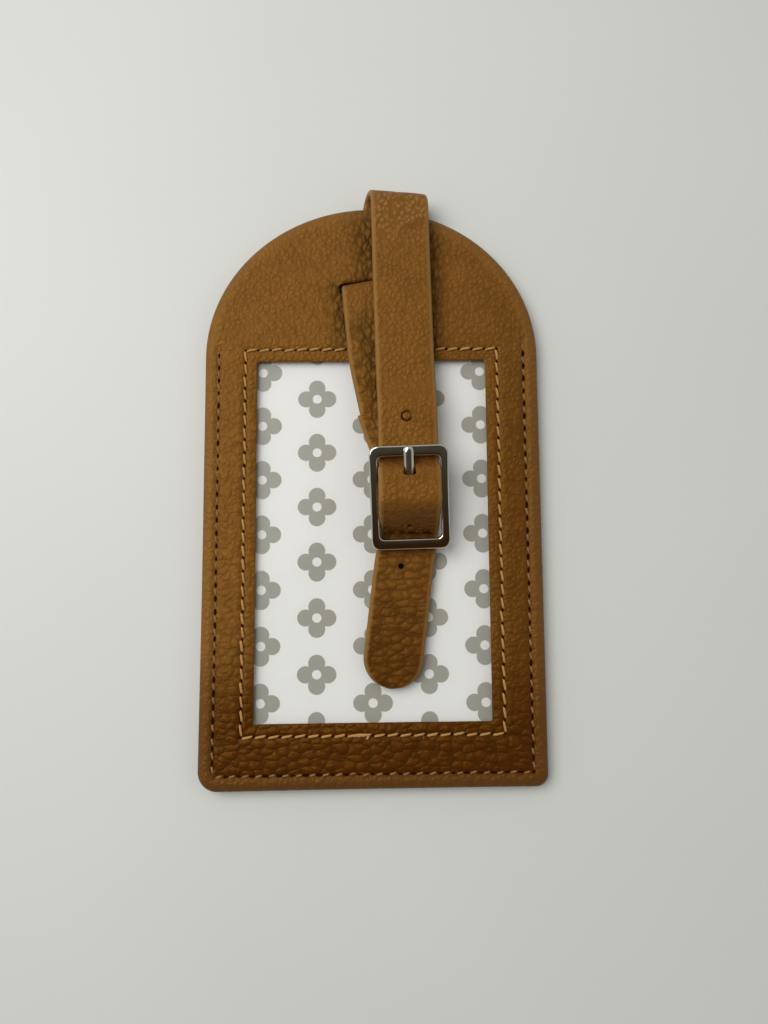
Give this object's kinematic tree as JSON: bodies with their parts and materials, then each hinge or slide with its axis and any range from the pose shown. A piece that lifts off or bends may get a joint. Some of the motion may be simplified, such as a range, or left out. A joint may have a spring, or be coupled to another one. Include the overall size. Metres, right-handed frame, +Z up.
{
  "type": "luggage tag",
  "caption": "Arched leather luggage tag with a windowed card pocket, sewn edges, and a strap looped through its slot and closed by a centre-bar buckle with a prong.",
  "frame": {"origin": "centre of the box's bottom face, on the surface that the tag lies on", "axes": "+Z up out of the tag's face, +Y along the tag to its arched end and strap loop, +X to the right seen from the face"},
  "size_m": [0.07, 0.1247, 0.0117],
  "materials": {
    "face_leather": "pebbled tan leather",
    "back_leather": "pebbled tan leather",
    "strap_leather": "pebbled tan leather, painted edges",
    "lining": "thin matt lining",
    "film": "clear",
    "card": "white",
    "thread": "tan sewing thread",
    "nickel": "polished dark nickel"
  },
  "bodies": {
    "tag": {"front_panel": "face_leather", "front_lining": "lining", "window_film": "film", "back_panel": "back_leather", "window_seam": "thread", "edge_seam_front": "thread", "edge_seam_back": "thread"},
    "card": {"insert_card": "card"},
    "strap": {"strap": "strap_leather"},
    "buckle": {"buckle_frame": "nickel", "centre_bar": "nickel"},
    "prong": {"prong": "nickel"},
    "tail": {"strap_tail": "strap_leather"}
  },
  "joints": [
    {"name": "card_slide", "type": "slide", "parent": "tag", "child": "card", "axis": [0, 1, 0], "range_m": [0, 0.008]},
    {"name": "strap_swing", "type": "hinge", "parent": "tag", "child": "strap", "pos_m": [-0.0002, 0.04165, 0.0036], "axis": [0, 0, 1], "range_deg": [-3, 3]},
    {"name": "buckle_rock", "type": "hinge", "parent": "strap", "child": "buckle", "pos_m": [0.0077, -0.00465, 0.00767], "axis": [1, 0, 0], "range_deg": [0, 2]},
    {"name": "prong_lift", "type": "hinge", "parent": "buckle", "child": "prong", "pos_m": [0.0077, -0.00465, 0.00767], "axis": [1, 0, 0], "range_deg": [0, 10]},
    {"name": "tail_lift", "type": "hinge", "parent": "strap", "child": "tail", "pos_m": [0.0068, -0.0158, 0.00342], "axis": [-0.9925, 0.1219, 0], "range_deg": [0, 40]}
  ]
}
